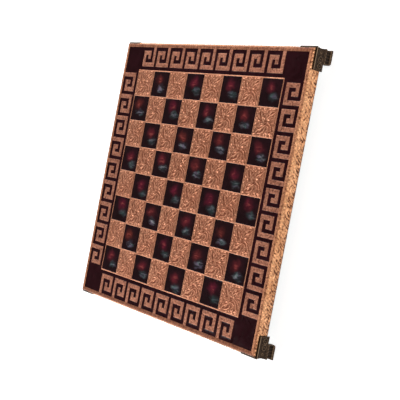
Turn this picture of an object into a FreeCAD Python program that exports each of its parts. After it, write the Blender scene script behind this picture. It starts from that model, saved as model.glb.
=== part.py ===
import FreeCAD, Part
import os
import Sketcher

# Enamel chessboard lying on its four corner feet.
# Origin: on the ground under the middle of the board. +Z up, +Y from rank 1 towards rank 8,
# +X from file a towards file h. All sizes are in millimetres.

# Sizes that can be set by themselves, with what each one is.
SIZES = [
    ("square_pitch", 35.6, "width of one square of the playing field"),
    ("cell_wall", 1.4, "copper left standing where the corners of two enamel squares meet"),
    ("field_line", 1.3, "width of the raised line round the playing field"),
    ("border_width", 32.0, "from the field line to the rim"),
    ("rim_width", 5.0, "raised rim along the edge of the board"),
    ("rim_rise", 0.5, "rim above the raised copper"),
    ("rim_fold", 1.7, "radius of the fold at the outer edge of the rim"),
    ("key_pitch", 31.2, "from one Greek key to the next"),
    ("key_bar", 5.6, "width of the bar that a key is drawn with"),
    ("key_inset", 5.0, "from the field line to the keys"),
    ("enamel_thickness", 0.7, "depth of the enamel fills"),
    ("enamel_drop", 0.2, "raised copper above the enamel"),
    ("sheet_back", 0.5, "copper under the enamel"),
    ("panel_thickness", 14.8, "wooden panel"),
    ("band_thickness", 0.6, "copper strip on the sides"),
    ("felt_thickness", 0.6, "cloth on the underside"),
    ("felt_margin", 4.0, "from the edge of the board to the cloth"),
    ("felt_gap", 1.0, "from the ledge of a foot to the cloth"),
    ("foot_drop", 14.2, "from the ground to the underside of the panel"),
    ("arm_length", 24.6, "arm of a foot along the side of the board"),
    ("arm_top_drop", 3.2, "top of an arm below the rim"),
    ("arm_proud", 2.0, "panel of an arm in front of the side"),
    ("cornice_height", 2.3, "bead along the top of an arm"),
    ("cornice_proud", 2.6, "bead in front of the side"),
    ("bead_radius", 0.9, "rounding of the bead"),
    ("end_radius", 0.7, "rounding of the inner end of an arm"),
    ("cove_height", 1.5, "groove under the bead"),
    ("cove_proud", 1.2, "bottom of that groove in front of the side"),
    ("ledge_thickness", 2.4, "ledge of a foot under the panel"),
    ("ledge_reach", 19.0, "ledge from the corner of the board inwards"),
    ("leg_width", 15.5, "leg from the corner of the board inwards"),
    ("leg_wall", 4.6, "thickness of the two walls of a leg"),
    ("leg_proud", 1.5, "shaft of a leg in front of the side"),
    ("capital_height", 2.6, "moulding at the top of a leg"),
    ("capital_proud", 2.4, "that moulding in front of the side"),
    ("base_height", 3.6, "moulding at the foot of a leg"),
    ("base_proud", 3.0, "that moulding in front of the side"),
    ("toe_radius", 4.5, "rounding of the inner bottom corner of a leg"),
    ("flute_radius", 1.1, "flutes in a leg"),
    ("flute_pitch", 3.6, "from one flute to the next"),
    ("flute_margin", 0.6, "from the flutes to the mouldings above and below them"),
    ("screw_inset", 10.5, "screw of a foot from both sides of the corner"),
    ("screw_shank", 1.5, "radius of a screw's shank"),
    ("screw_head", 3.0, "radius of a screw's head"),
    ("screw_length", 11.0, "length of a screw"),
    ("cross_reach", 1.4, "arms of the cross recess in a screw's head"),
    ("cross_width", 0.8, "width of that recess"),
    ("cross_depth", 1.0, "depth of that recess"),
    ("screw_clearance", 0.2, "round the screw in the ledge"),
]
SQUARES = 8
FLUTES = 4
NEAR = 1e-6
FILES = "abcdefgh"

# Sizes that follow from those above.
DERIVED = [
    ("enamel_square", "square_pitch - cell_wall"),
    ("line_half", f"{SQUARES // 2} * square_pitch - cell_wall / 2 + field_line"),
    ("rim_half", "line_half + border_width"),
    ("board_half", "rim_half + rim_width"),
    ("core_half", "board_half - band_thickness"),
    ("key_half", "line_half + key_inset"),
    ("key_gap", "(key_pitch - 3 * key_bar) / 3"),
    ("key_gap_deep", "(rim_half - key_half - 3 * key_bar) / 2"),
    ("key_size", "3 * key_bar + 2 * key_gap"),
    ("keys_per_side", "floor((2 * line_half + key_gap) / key_pitch)"),
    ("keys_half", "(keys_per_side * key_pitch - key_gap) / 2"),
    ("panel_base", "foot_drop"),
    ("sheet_base", "panel_base + panel_thickness"),
    ("recess_base", "sheet_base + sheet_back"),
    ("copper_top", "recess_base + enamel_thickness + enamel_drop"),
    ("rim_top", "copper_top + rim_rise"),
    ("felt_half", "board_half - felt_margin"),
    ("felt_notch", "board_half - ledge_reach - felt_gap"),
    ("felt_base", "panel_base - felt_thickness"),
    ("ledge_base", "panel_base - ledge_thickness"),
    ("arm_top", "rim_top - arm_top_drop"),
    ("cornice_base", "arm_top - cornice_height"),
    ("cove_base", "cornice_base - cove_height"),
    ("capital_base", "ledge_base - capital_height"),
    ("foot_reach", "max(cornice_proud; base_proud)"),
    ("bead_round", "min(bead_radius; 0.45 * cornice_height; 0.9 * (cornice_proud - cove_proud))"),
    ("end_round", "min(end_radius; 0.9 * (arm_proud - cove_proud))"),
    ("flute_low", "base_height + flute_margin"),
    ("flute_high", "capital_base - flute_margin"),
    ("screw_hole", "screw_shank + screw_clearance"),
    ("screw_half", "board_half - screw_inset"),
]

doc = FreeCAD.newDocument("enamel_chessboard")
sheet = doc.addObject("Spreadsheet::Sheet", "Sizes")


def fill_sheet():
    row = 0
    for alias, number, _meaning in SIZES:
        row += 1
        sheet.set(f"A{row}", alias)
        sheet.set(f"B{row}", str(number))
        sheet.setAlias(f"B{row}", alias)
    for alias, formula in DERIVED:
        row += 1
        sheet.set(f"A{row}", alias)
        sheet.set(f"B{row}", "=" + formula)
        sheet.setAlias(f"B{row}", alias)
    doc.recompute()


fill_sheet()
NAMES = sorted([entry[0] for entry in SIZES + DERIVED], key=len, reverse=True)


def bound(formula):
    """The formula with each alias written as a cell of the sheet."""
    words = []
    word = ""
    for letter in str(formula) + " ":
        if letter.isalnum() or letter == "_":
            word += letter
            continue
        words.append("Sizes." + word if word in NAMES else word)
        words.append(letter)
        word = ""
    return "".join(words).strip()


def worked_out(formula):
    """The present value of a formula."""
    return float(sheet.evalExpression(bound(formula)))


def bind(thing, prop, formula):
    thing.setExpression(prop, bound(formula))


def new_body(label):
    body = doc.addObject("PartDesign::Body", label)
    body.Label = label
    return body


def origin_part(body, role):
    return [part for part in body.Origin.OriginFeatures if part.Role == role][0]


def new_sketch(body, name, plane, offset="0"):
    """An empty sketch on an origin plane of its body, moved along that plane's normal by offset."""
    sketch = body.newObject("Sketcher::SketchObject", name)
    sketch.AttachmentSupport = (origin_part(body, plane), [""])
    sketch.MapMode = "FlatFace"
    if offset != "0":
        bind(sketch, "AttachmentOffset.Base.z", offset)
    return sketch


def hold(sketch, kind, first, second, formula):
    """Ties the distance from one point to another, along X or Y, to a formula."""
    number = sketch.addConstraint(Sketcher.Constraint(kind, *first, *second, worked_out(formula)))
    bind(sketch, f"Constraints[{number}]", formula)


ORIGIN_POINT = (-1, 1)


def draw_outline(sketch, points):
    """Draws a closed outline of straight lines through points, each a pair of formulas."""
    corners = [FreeCAD.Vector(worked_out(x), worked_out(y), 0) for x, y in points]
    first = sketch.GeometryCount
    count = len(points)
    for i in range(count):
        sketch.addGeometry(Part.LineSegment(corners[i], corners[(i + 1) % count]), False)
    for i in range(count):
        here = first + i
        after = first + (i + 1) % count
        sketch.addConstraint(Sketcher.Constraint("Coincident", here, 2, after, 1))
    for i in range(count):
        for kind, formula in zip(("DistanceX", "DistanceY"), points[i]):
            if worked_out(formula) == 0:
                axis_line = -2 if kind == "DistanceX" else -1
                sketch.addConstraint(Sketcher.Constraint("PointOnObject", first + i, 1, axis_line))
            else:
                hold(sketch, kind, ORIGIN_POINT, (first + i, 1), formula)


def draw_circle(sketch, x, y, radius):
    centre = FreeCAD.Vector(worked_out(x), worked_out(y), 0)
    number = sketch.GeometryCount
    sketch.addGeometry(Part.Circle(centre, FreeCAD.Vector(0, 0, 1), worked_out(radius)), False)
    hold(sketch, "DistanceX", ORIGIN_POINT, (number, 3), x)
    hold(sketch, "DistanceY", ORIGIN_POINT, (number, 3), y)
    tie = sketch.addConstraint(Sketcher.Constraint("Radius", number, worked_out(radius)))
    bind(sketch, f"Constraints[{tie}]", radius)


def rectangle(low_x, low_y, high_x, high_y):
    return [(low_x, low_y), (high_x, low_y), (high_x, high_y), (low_x, high_y)]


def square(half):
    return rectangle(f"-({half})", f"-({half})", half, half)


def extrude(body, kind, name, sketch, length, reverse=False):
    """A pad or a pocket of a sketch."""
    feature = body.newObject(f"PartDesign::{kind}", name)
    feature.Profile = sketch
    feature.Type = "Length"
    feature.Reversed = reverse
    bind(feature, "Length", length)
    sketch.Visibility = False
    return feature


def volume_of(body):
    doc.recompute()
    return body.Shape.Volume


def must_change(body, before, sign, name):
    """Stops if a feature added or cut nothing, or went the wrong way."""
    after = volume_of(body)
    if (after - before) * sign <= 0:
        raise RuntimeError(f"{name} changed the volume of {body.Label} from {before} to {after}")


def pad(body, name, sketch, length, reverse=False):
    before = volume_of(body) if body.Tip else 0.0
    feature = extrude(body, "Pad", name, sketch, length, reverse)
    must_change(body, before, 1, name)
    return feature


def pocket(body, name, sketch, length, reverse=False):
    before = volume_of(body)
    feature = extrude(body, "Pocket", name, sketch, length, reverse)
    must_change(body, before, -1, name)
    return feature


def round_edges(body, name, edges, radius):
    """A fillet on named edges of the body as it is so far."""
    before = body.Tip
    fillet = body.newObject("PartDesign::Fillet", name)
    fillet.Base = (before, edges)
    bind(fillet, "Radius", radius)
    doc.recompute()
    return fillet


def edges_at(body, **places):
    """Names of the straight edges of a body that lie at all the places given along X, Y or Z."""
    names = []
    for number, edge in enumerate(body.Shape.Edges, 1):
        box = edge.BoundBox
        for axis, formula in places.items():
            wanted = worked_out(formula)
            ends = (getattr(box, axis.upper() + "Min"), getattr(box, axis.upper() + "Max"))
            if max(abs(end - wanted) for end in ends) > NEAR:
                break
        else:
            names.append(f"Edge{number}")
    if not names:
        raise RuntimeError(f"{body.Label} has no edge at {places}")
    return names


def set_spacing(pattern, axis, pitch, count):
    pattern.Direction = axis
    pattern.Mode = "Spacing"
    bind(pattern, "Offset", pitch)
    bind(pattern, "Occurrences", count)


KEY_ROWS = ("key_bar", "key_gap_deep", "key_bar", "key_bar", "key_gap_deep")
KEY_COLUMNS = ("key_bar", "key_gap", "key_bar", "key_gap", "key_bar")


def key_outline():
    """A Greek key at the start of the back row, drawn from its root in the rim to its hooked end."""
    across = ["-keys_half"]
    for width in KEY_COLUMNS:
        across.append(f"{across[-1]} + {width}")
    out = ["key_half"]
    for height in KEY_ROWS:
        out.append(f"{out[-1]} + {height}")
    return [
        (across[5], out[5]), (across[4], out[5]), (across[4], out[1]), (across[1], out[1]),
        (across[1], out[3]), (across[2], out[3]), (across[2], out[2]), (across[3], out[2]),
        (across[3], out[4]), (across[0], out[4]), (across[0], out[0]), (across[5], out[0]),
    ]


def repeat_keys(body, feature):
    """Repeats one key along its side of the board, and that row on all four sides."""
    along = body.newObject("PartDesign::LinearPattern", "keys_along_side")
    set_spacing(along, (origin_part(body, "X_Axis"), [""]), "key_pitch", "keys_per_side")
    round_board = body.newObject("PartDesign::PolarPattern", "keys_round_board")
    set_quarters(round_board, body)
    repeat(body, feature, "key_rows", [along, round_board])


def repeat(body, feature, name, patterns):
    """Repeats a feature by one pattern after another."""
    many = body.newObject("PartDesign::MultiTransform", name)
    many.Originals = [feature]
    many.Transformations = patterns
    body.Tip = many


def set_quarters(pattern, body):
    """Four copies, a quarter turn apart round the middle of the board."""
    pattern.Axis = (origin_part(body, "Z_Axis"), [""])
    pattern.Angle = 360
    pattern.Occurrences = 4


def make_relief_sheet():
    """The face sheet: a plate with a rim, a recessed border with keys, and a recess for each dark square."""
    body = new_body("relief_sheet")
    outline = new_sketch(body, "sheet_outline", "XY_Plane", "sheet_base")
    draw_outline(outline, square("board_half"))
    pad(body, "plate", outline, "copper_top - sheet_base")
    rim = new_sketch(body, "rim_outline", "XY_Plane", "copper_top")
    draw_outline(rim, square("board_half"))
    draw_outline(rim, square("rim_half"))
    pad(body, "rim", rim, "rim_rise")
    border = new_sketch(body, "border_outline", "XY_Plane", "copper_top")
    draw_outline(border, square("rim_half"))
    draw_outline(border, square("line_half"))
    pocket(body, "border_recess", border, "copper_top - recess_base")
    recess_squares(body, "odd_recess", 0)
    recess_squares(body, "even_recess", 1)
    doc.recompute()
    outside = []
    for sign in ("", "-"):
        outside += edges_at(body, x=f"{sign}board_half", z="rim_top")
        outside += edges_at(body, y=f"{sign}board_half", z="rim_top")
    round_edges(body, "rim_fold", outside, "rim_fold")
    key = new_sketch(body, "key_outline", "XY_Plane", "recess_base")
    draw_outline(key, key_outline())
    first_key = pad(body, "key", key, "copper_top - recess_base")
    repeat_keys(body, first_key)
    doc.recompute()
    return body


def recess_squares(body, name, start):
    """Recesses for every second square of every second file, from square number start each way."""
    corner = f"({start} - {SQUARES // 2}) * square_pitch + cell_wall / 2"
    far = f"{corner} + enamel_square"
    cell = new_sketch(body, f"{name}_outline", "XY_Plane", "copper_top")
    draw_outline(cell, rectangle(corner, corner, far, far))
    first = pocket(body, f"{name}_first", cell, "copper_top - recess_base")
    patterns = []
    for axis in ("X", "Y"):
        along = body.newObject("PartDesign::LinearPattern", f"{name}_along_{axis.lower()}")
        set_spacing(along, (origin_part(body, f"{axis}_Axis"), [""]), "2 * square_pitch", SQUARES // 2)
        patterns.append(along)
    repeat(body, first, name, patterns)


def make_border_enamel():
    """The enamel of the border: a ring that fills the recess round every key."""
    body = new_body("border_enamel")
    ring = new_sketch(body, "ring_outline", "XY_Plane", "recess_base")
    draw_outline(ring, square("rim_half"))
    draw_outline(ring, square("line_half"))
    pad(body, "ring", ring, "enamel_thickness")
    key = new_sketch(body, "key_gap_outline", "XY_Plane", "recess_base + enamel_thickness")
    draw_outline(key, key_outline())
    first_key = pocket(body, "key_gap", key, "enamel_thickness")
    repeat_keys(body, first_key)
    doc.recompute()
    return body


def make_enamel_square(file_number, rank_number):
    """One dark square, which fills its own recess."""
    label = f"enamel_{FILES[file_number]}{rank_number + 1}"
    tile = doc.addObject("Part::Box", label)
    tile.Label = label
    bind(tile, "Length", "enamel_square")
    bind(tile, "Width", "enamel_square")
    bind(tile, "Height", "enamel_thickness")
    for axis, number in (("x", file_number), ("y", rank_number)):
        place = f"{number - SQUARES // 2} * square_pitch + cell_wall / 2"
        bind(tile, f"Placement.Base.{axis}", place)
    bind(tile, "Placement.Base.z", "recess_base")
    return tile


def make_core_panel():
    """The wooden panel, with a pilot hole for the screw of each foot."""
    body = new_body("core_panel")
    outline = new_sketch(body, "panel_outline", "XY_Plane", "panel_base")
    draw_outline(outline, square("core_half"))
    pad(body, "panel", outline, "panel_thickness")
    hole = new_sketch(body, "pilot_outline", "XY_Plane", "panel_base")
    draw_circle(hole, "screw_half", "screw_half", "screw_shank")
    first = pocket(body, "pilot_hole", hole, "screw_length - ledge_thickness", True)
    round_board = body.newObject("PartDesign::PolarPattern", "pilot_holes")
    round_board.Originals = [first]
    set_quarters(round_board, body)
    body.Tip = round_board
    return body


def make_base_felt():
    """The cloth under the panel, cut away round the ledge of each foot."""
    body = new_body("base_felt")
    outline = new_sketch(body, "felt_outline", "XY_Plane", "felt_base")
    quarter = [("felt_half", "felt_notch"), ("felt_notch", "felt_notch"), ("felt_notch", "felt_half")]
    points = []
    for turn in range(4):
        for x, y in quarter:
            points.append((x, y))
        quarter = [(f"-({y})", x) for x, y in quarter]
    draw_outline(outline, points)
    pad(body, "felt", outline, "felt_thickness")
    return body


def place_on_corner(thing, turn):
    """Puts a piece drawn for the corner at +X +Y on the corner that many quarter turns on."""
    signs = ((1, 1), (-1, 1), (-1, -1), (1, -1))[turn]
    thing.Placement = FreeCAD.Placement(
        FreeCAD.Vector(0, 0, 0), FreeCAD.Rotation(FreeCAD.Vector(0, 0, 1), 90 * turn)
    )
    bind(thing, "Placement.Base.x", f"{signs[0]} * board_half")
    bind(thing, "Placement.Base.y", f"{signs[1]} * board_half")


def make_edge_band(side, turn):
    """The copper strip on one side, from the corner before it to the back of the next strip."""
    body = new_body(f"edge_band_{side}")
    outline = new_sketch(body, "band_outline", "XY_Plane", "panel_base")
    run = rectangle("band_thickness - 2 * board_half", "-band_thickness", "0", "0")
    draw_outline(outline, run)
    pad(body, "strip", outline, "panel_thickness")
    place_on_corner(body, turn)
    return body


def make_corner_foot(number, turn):
    """One cast foot. Half of it is built beside the diagonal of the corner and then mirrored."""
    body = new_body(f"corner_foot_{number}")
    arm = new_sketch(body, "arm_section", "XZ_Plane", "-foot_reach")
    draw_outline(arm, [
        ("0", "ledge_base"), ("arm_proud", "ledge_base"), ("arm_proud", "cove_base"),
        ("cove_proud", "cove_base"), ("cove_proud", "cornice_base"), ("cornice_proud", "cornice_base"),
        ("cornice_proud", "arm_top"), ("0", "arm_top"),
    ])
    pad(body, "arm", arm, "arm_length + foot_reach")
    leg = new_sketch(body, "leg_section", "XZ_Plane", "-foot_reach")
    draw_outline(leg, [
        ("leg_proud - leg_wall", "0"), ("base_proud", "0"), ("base_proud", "base_height / 2"),
        ("leg_proud", "base_height"), ("leg_proud", "capital_base"), ("capital_proud", "ledge_base"),
        ("leg_proud - leg_wall", "ledge_base"),
    ])
    pad(body, "leg", leg, "leg_width + foot_reach")
    round_edges(body, "toe", edges_at(body, y="-leg_width", z="0"), "toe_radius")
    bead = edges_at(body, x="cornice_proud", z="arm_top")
    bead += edges_at(body, x="cornice_proud", z="cornice_base")
    round_edges(body, "bead", bead, "bead_round")
    round_edges(body, "arm_end", edges_at(body, x="arm_proud", y="-arm_length"), "end_round")
    ledge = new_sketch(body, "ledge_outline", "XY_Plane", "ledge_base")
    draw_outline(ledge, rectangle("-ledge_reach", "-ledge_reach", "0", "0"))
    pad(body, "ledge", ledge, "ledge_thickness")
    cut_flutes(body)
    spare = new_sketch(body, "beyond_diagonal", "XY_Plane", "arm_top")
    draw_outline(spare, [
        ("-2 * arm_length", "-2 * arm_length"), ("2 * foot_reach", "2 * foot_reach"),
        ("-2 * arm_length", "2 * foot_reach"),
    ])
    pocket(body, "mitre", spare, "arm_top")
    diagonal = new_sketch(body, "diagonal", "XY_Plane")
    diagonal.addGeometry(Part.LineSegment(FreeCAD.Vector(0, 0, 0), FreeCAD.Vector(1, 1, 0)), True)
    other_half = body.newObject("PartDesign::Mirrored", "other_half")
    other_half.TransformMode = "Whole shape"
    other_half.MirrorPlane = (diagonal, ["Axis0"])
    body.Tip = other_half
    doc.recompute()
    cut_screw_hole(body)
    place_on_corner(body, turn)
    return body


def cut_flutes(body):
    """Upright half-round flutes in the outer face of a leg."""
    middle = "(leg_proud - leg_width) / 2"
    first = f"{middle} - {FLUTES - 1} / 2 * flute_pitch"
    flute = new_sketch(body, "flute_section", "XZ_Plane", f"-({first})")
    bind(flute, "AttachmentOffset.Base.x", "leg_proud")
    draw_outline(flute, rectangle("0", "flute_low", "flute_radius", "flute_high"))
    cut = body.newObject("PartDesign::Groove", "flute")
    cut.Profile = flute
    cut.ReferenceAxis = (flute, ["V_Axis"])
    cut.Angle = 360
    before = volume_of(body)
    row = body.newObject("PartDesign::LinearPattern", "flutes")
    row.Originals = [cut]
    set_spacing(row, (origin_part(body, "Y_Axis"), [""]), "flute_pitch", str(FLUTES))
    body.Tip = row
    must_change(body, before, -1, "flutes")


def cut_screw_hole(body):
    """A countersunk hole up through the ledge."""
    hole = new_sketch(body, "screw_hole_section", "XZ_Plane", "screw_inset")
    bind(hole, "AttachmentOffset.Base.x", "-screw_inset")
    sink = "screw_head + screw_clearance"
    draw_outline(hole, [
        ("0", "ledge_base"), (sink, "ledge_base"),
        ("screw_hole", f"ledge_base + {sink} - screw_hole"), ("screw_hole", "panel_base"),
        ("0", "panel_base"),
    ])
    cut = body.newObject("PartDesign::Groove", "screw_hole")
    cut.Profile = hole
    cut.ReferenceAxis = (hole, ["V_Axis"])
    cut.Angle = 360
    doc.recompute()


def make_foot_screws():
    """A countersunk wood screw up through the ledge of each foot into the panel."""
    body = new_body("foot_screws")
    section = new_sketch(body, "screw_section", "XZ_Plane", "-screw_half")
    bind(section, "AttachmentOffset.Base.x", "screw_half")
    tip = "ledge_base + screw_length"
    draw_outline(section, [
        ("0", "ledge_base"), ("screw_head", "ledge_base"),
        ("screw_shank", "ledge_base + screw_head - screw_shank"),
        ("screw_shank", f"{tip} - 2 * screw_shank"), ("0", tip),
    ])
    turned = body.newObject("PartDesign::Revolution", "turned_screw")
    turned.Profile = section
    turned.ReferenceAxis = (section, ["V_Axis"])
    turned.Angle = 360
    cross = new_sketch(body, "cross_outline", "XY_Plane", "ledge_base")
    draw_outline(cross, cross_outline("screw_half", "screw_half", "cross_reach", "cross_width / 2"))
    recess = pocket(body, "cross_recess", cross, "cross_depth", True)
    round_board = body.newObject("PartDesign::PolarPattern", "four_screws")
    round_board.Originals = [turned, recess]
    set_quarters(round_board, body)
    body.Tip = round_board
    return body


def cross_outline(centre_x, centre_y, reach, half_width):
    """The outline of an upright cross."""
    steps = [(reach, half_width), (half_width, half_width), (half_width, reach)]
    points = []
    for _turn in range(4):
        for x, y in steps:
            points.append((f"{centre_x} + ({x})", f"{centre_y} + ({y})"))
        steps = [(f"-({y})", x) for x, y in steps]
    return points


def make_board():
    """Makes every piece of the board and returns them in the order that they go together."""
    pieces = [make_core_panel(), make_relief_sheet(), make_border_enamel()]
    for file_number in range(SQUARES):
        for rank_number in range(file_number % 2, SQUARES, 2):
            pieces.append(make_enamel_square(file_number, rank_number))
    for turn, side in enumerate(("back", "left", "front", "right")):
        pieces.append(make_edge_band(side, turn))
    pieces.append(make_base_felt())
    for turn in range(4):
        pieces.append(make_corner_foot(turn + 1, turn))
    pieces.append(make_foot_screws())
    doc.recompute()
    return pieces


def check_board(pieces):
    """Stops if any object of the document failed, or if a piece has no sound shape."""
    for thing in doc.Objects:
        if "Invalid" in thing.State or "Error" in thing.State:
            raise RuntimeError(f"{thing.Name} failed: {thing.State}")
    for piece in pieces:
        if piece.Shape.isNull() or not piece.Shape.isValid() or piece.Shape.Volume <= 0:
            raise RuntimeError(f"{piece.Label} has no sound shape")


def write_parts(pieces):
    os.makedirs("parts", exist_ok=True)
    for piece in pieces:
        piece.Shape.exportStep(f"parts/{piece.Label}.step")
        box = piece.Shape.BoundBox
        print(
            f"{piece.Label:18s} solids {len(piece.Shape.Solids)}  volume {piece.Shape.Volume:11.1f}"
            f"  x {box.XMin:7.1f} {box.XMax:7.1f}  y {box.YMin:7.1f} {box.YMax:7.1f}"
            f"  z {box.ZMin:5.1f} {box.ZMax:5.1f}"
        )


board = make_board()
check_board(board)
write_parts(board)
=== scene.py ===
import bpy
import itertools
import math
import numpy as np
from mathutils import Matrix, Vector


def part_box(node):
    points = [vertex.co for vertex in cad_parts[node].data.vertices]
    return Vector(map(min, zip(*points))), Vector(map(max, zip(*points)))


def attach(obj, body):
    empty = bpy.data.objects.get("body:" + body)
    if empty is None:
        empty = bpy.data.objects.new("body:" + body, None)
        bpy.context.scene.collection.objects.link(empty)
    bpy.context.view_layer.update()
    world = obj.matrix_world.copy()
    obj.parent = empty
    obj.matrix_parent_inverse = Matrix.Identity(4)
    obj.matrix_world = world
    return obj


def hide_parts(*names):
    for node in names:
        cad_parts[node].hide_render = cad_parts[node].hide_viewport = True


# The chessboard lies on its four feet on the ground z = 0. Lengths are in millimetres, and MM
# turns them into metres where a mesh or a material is made. Only the floor, the lamps and the
# camera are placed in metres.
MM = 0.001

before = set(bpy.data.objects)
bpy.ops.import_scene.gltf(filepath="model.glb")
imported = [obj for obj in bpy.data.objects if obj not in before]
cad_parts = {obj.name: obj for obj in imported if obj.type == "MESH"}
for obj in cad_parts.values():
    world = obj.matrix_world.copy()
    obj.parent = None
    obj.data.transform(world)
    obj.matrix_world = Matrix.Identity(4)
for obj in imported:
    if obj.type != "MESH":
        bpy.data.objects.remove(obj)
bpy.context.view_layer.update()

# Sizes of the board, the same as those of the solids.
SQUARES = 8
PITCH = 35.6
WALL = 1.4
LINE_WIDTH = 1.3
BORDER_WIDTH = 32.0
RIM_WIDTH = 5.0
ENAMEL_DROP = 0.2
LINE_HALF = round(SQUARES / 2 * PITCH - WALL / 2 + LINE_WIDTH, 3)
RIM_HALF = LINE_HALF + BORDER_WIDTH
BOARD_HALF = RIM_HALF + RIM_WIDTH
PANEL_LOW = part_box("core_panel")[0][2] / MM
FELT_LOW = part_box("base_felt")[0][2] / MM
ENAMEL_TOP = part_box("enamel_a1")[1][2] / MM
COPPER_TOP = ENAMEL_TOP + ENAMEL_DROP
RIM_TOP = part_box("relief_sheet")[1][2] / MM

# The walls of the raised copper go down to this height, inside the solids, and look this dark.
WALL_FOOT = ENAMEL_TOP - 0.45
WALL_SHADE = 0.15
SIDES = ("back", "left", "front", "right")


# Meshes


def make_piece(name, points, faces, material, replaced=(), relief=None):
    """A smooth mesh from points in millimetres, which rides on the board."""
    mesh = bpy.data.meshes.new(name)
    mesh.from_pydata((points * MM).tolist(), [], faces if isinstance(faces, list) else faces.tolist())
    mesh.polygons.foreach_set("use_smooth", np.ones(len(mesh.polygons), bool))
    if relief is not None:
        layer = mesh.attributes.new("relief", "FLOAT", "POINT")
        layer.data.foreach_set("value", np.asarray(relief, np.float32))
    mesh.materials.append(material)
    mesh.update()
    piece = bpy.data.objects.new(name, mesh)
    bpy.context.scene.collection.objects.link(piece)
    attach(piece, "root")
    if replaced:
        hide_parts(*replaced)
    return piece


def spread(lines, step, edge=0.25):
    """Grid lines through each of the given lines, close together beside them and step apart between."""
    found = []
    for low, high in zip(lines[:-1], lines[1:]):
        if high - low < 4 * edge:
            found += [low, (low + high) / 2]
            continue
        count = max(1, round((high - low - 2 * edge) / step))
        found += [low] + list(np.linspace(low + edge, high - edge, count + 1))
    return np.array(found + [lines[-1]])


def shifted(mask, by_x, by_y):
    """The mask moved by whole cells, with nothing coming in at its sides."""
    wide = np.pad(mask, 1)
    return wide[1 - by_x:1 - by_x + mask.shape[0], 1 - by_y:1 - by_y + mask.shape[1]]


def corners_of(mask):
    """How many of the four cells round each grid point are in the mask."""
    wide = np.pad(mask, 1).astype(int)
    return wide[:-1, :-1] + wide[1:, :-1] + wide[:-1, 1:] + wide[1:, 1:]


def wall_faces(mask, whole, number, below):
    """Faces from the numbered points down to those below, where a mask and the whole patch end."""
    faces = []
    for by_x, by_y, start, end in (
        (1, 0, (0, 1), (0, 0)),
        (-1, 0, (1, 0), (1, 1)),
        (0, 1, (0, 0), (1, 0)),
        (0, -1, (1, 1), (0, 1)),
    ):
        i, j = np.nonzero(mask & ~shifted(whole, by_x, by_y))
        a = (i + start[0], j + start[1])
        b = (i + end[0], j + end[1])
        faces.append(np.c_[number[a], below[a], below[b], number[b]])
    return faces


class Plateau:
    """A raised patch over part of a grid: a top with rounded edges, and walls down from them."""

    def __init__(self, xs, ys, mask):
        self.xs, self.ys, self.mask = xs, ys, mask
        self.x, self.y = np.meshgrid(xs, ys, indexing="ij")
        count = corners_of(mask)
        self.edge = (count > 0) & (count < 4)
        near = np.pad(self.edge, 1)
        self.ring = (near[:-2, 1:-1] | near[2:, 1:-1] | near[1:-1, :-2] | near[1:-1, 2:]) & ~self.edge

    def build(self, top, foot, rows=None, walled=True):
        """Points and faces of the cells in some rows, with walls down to foot round the walled ones."""
        low, high = rows or (0, len(self.ys) - 1)
        mask = np.zeros_like(self.mask)
        mask[:, low:high] = self.mask[:, low:high]
        used = corners_of(mask) > 0
        number = np.full(used.shape, -1)
        number[used] = np.arange(used.sum())
        points = [np.c_[self.x[used], self.y[used], top[used]]]
        i, j = np.nonzero(mask)
        faces = [np.c_[number[i, j], number[i + 1, j], number[i + 1, j + 1], number[i, j + 1]]]
        wall = self.edge & used
        below = np.full(used.shape, -1)
        below[wall] = used.sum() + np.arange(wall.sum())
        points.append(np.c_[self.x[wall], self.y[wall], np.full(wall.sum(), foot)])
        faces += wall_faces(mask & walled, self.mask, number, below)
        return np.concatenate(points), np.concatenate(faces), used, wall


def turned(points, quarter):
    """Points turned by quarter turns about the middle of the board."""
    x, y, z = points.T
    for _turn in range(quarter):
        x, y = -y, x
    return np.c_[x, y, z]


NOISE_CELLS = 64


def smooth_noise(x, y, size, seed):
    """Smooth values from -1 to 1 that vary over the given size."""
    rng = np.random.default_rng(seed)
    grid = rng.uniform(-1, 1, (NOISE_CELLS, NOISE_CELLS))
    u, v = x / size, y / size
    i, j = np.floor(u).astype(int), np.floor(v).astype(int)
    fu, fv = u - i, v - j
    fu, fv = fu * fu * (3 - 2 * fu), fv * fv * (3 - 2 * fv)
    i, j = i % NOISE_CELLS, j % NOISE_CELLS
    i2, j2 = (i + 1) % NOISE_CELLS, (j + 1) % NOISE_CELLS
    low = grid[i, j] * (1 - fu) + grid[i2, j] * fu
    high = grid[i, j2] * (1 - fu) + grid[i2, j2] * fu
    return low * (1 - fv) + high * fv


# Strokes, which the reliefs are drawn with


def curve(points, count):
    """Points along a smooth line through three or more points."""
    points = np.asarray(points, float)
    steps = np.linspace(0, len(points) - 1, count)
    ends = np.concatenate([[2 * points[0] - points[1]], points, [2 * points[-1] - points[-2]]])
    i = np.minimum(steps.astype(int), len(points) - 2)
    t = (steps - i)[:, None]
    a, b, c, d = ends[i], ends[i + 1], ends[i + 2], ends[i + 3]
    square = (2 * a - 5 * b + 4 * c - d) * t ** 2
    cube = (3 * b - a - 3 * c + d) * t ** 3
    return 0.5 * (2 * b + (c - a) * t + square + cube)


def spiral(x, y, outer, inner, start, turns, count):
    """Points along a spiral from its outer end to its eye. Angles are in turns."""
    t = np.linspace(0, 1, count)
    angle = 2 * math.pi * (start + turns * t)
    radius = outer + (inner - outer) * t
    return np.c_[x + radius * np.cos(angle), y + radius * np.sin(angle)]


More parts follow.
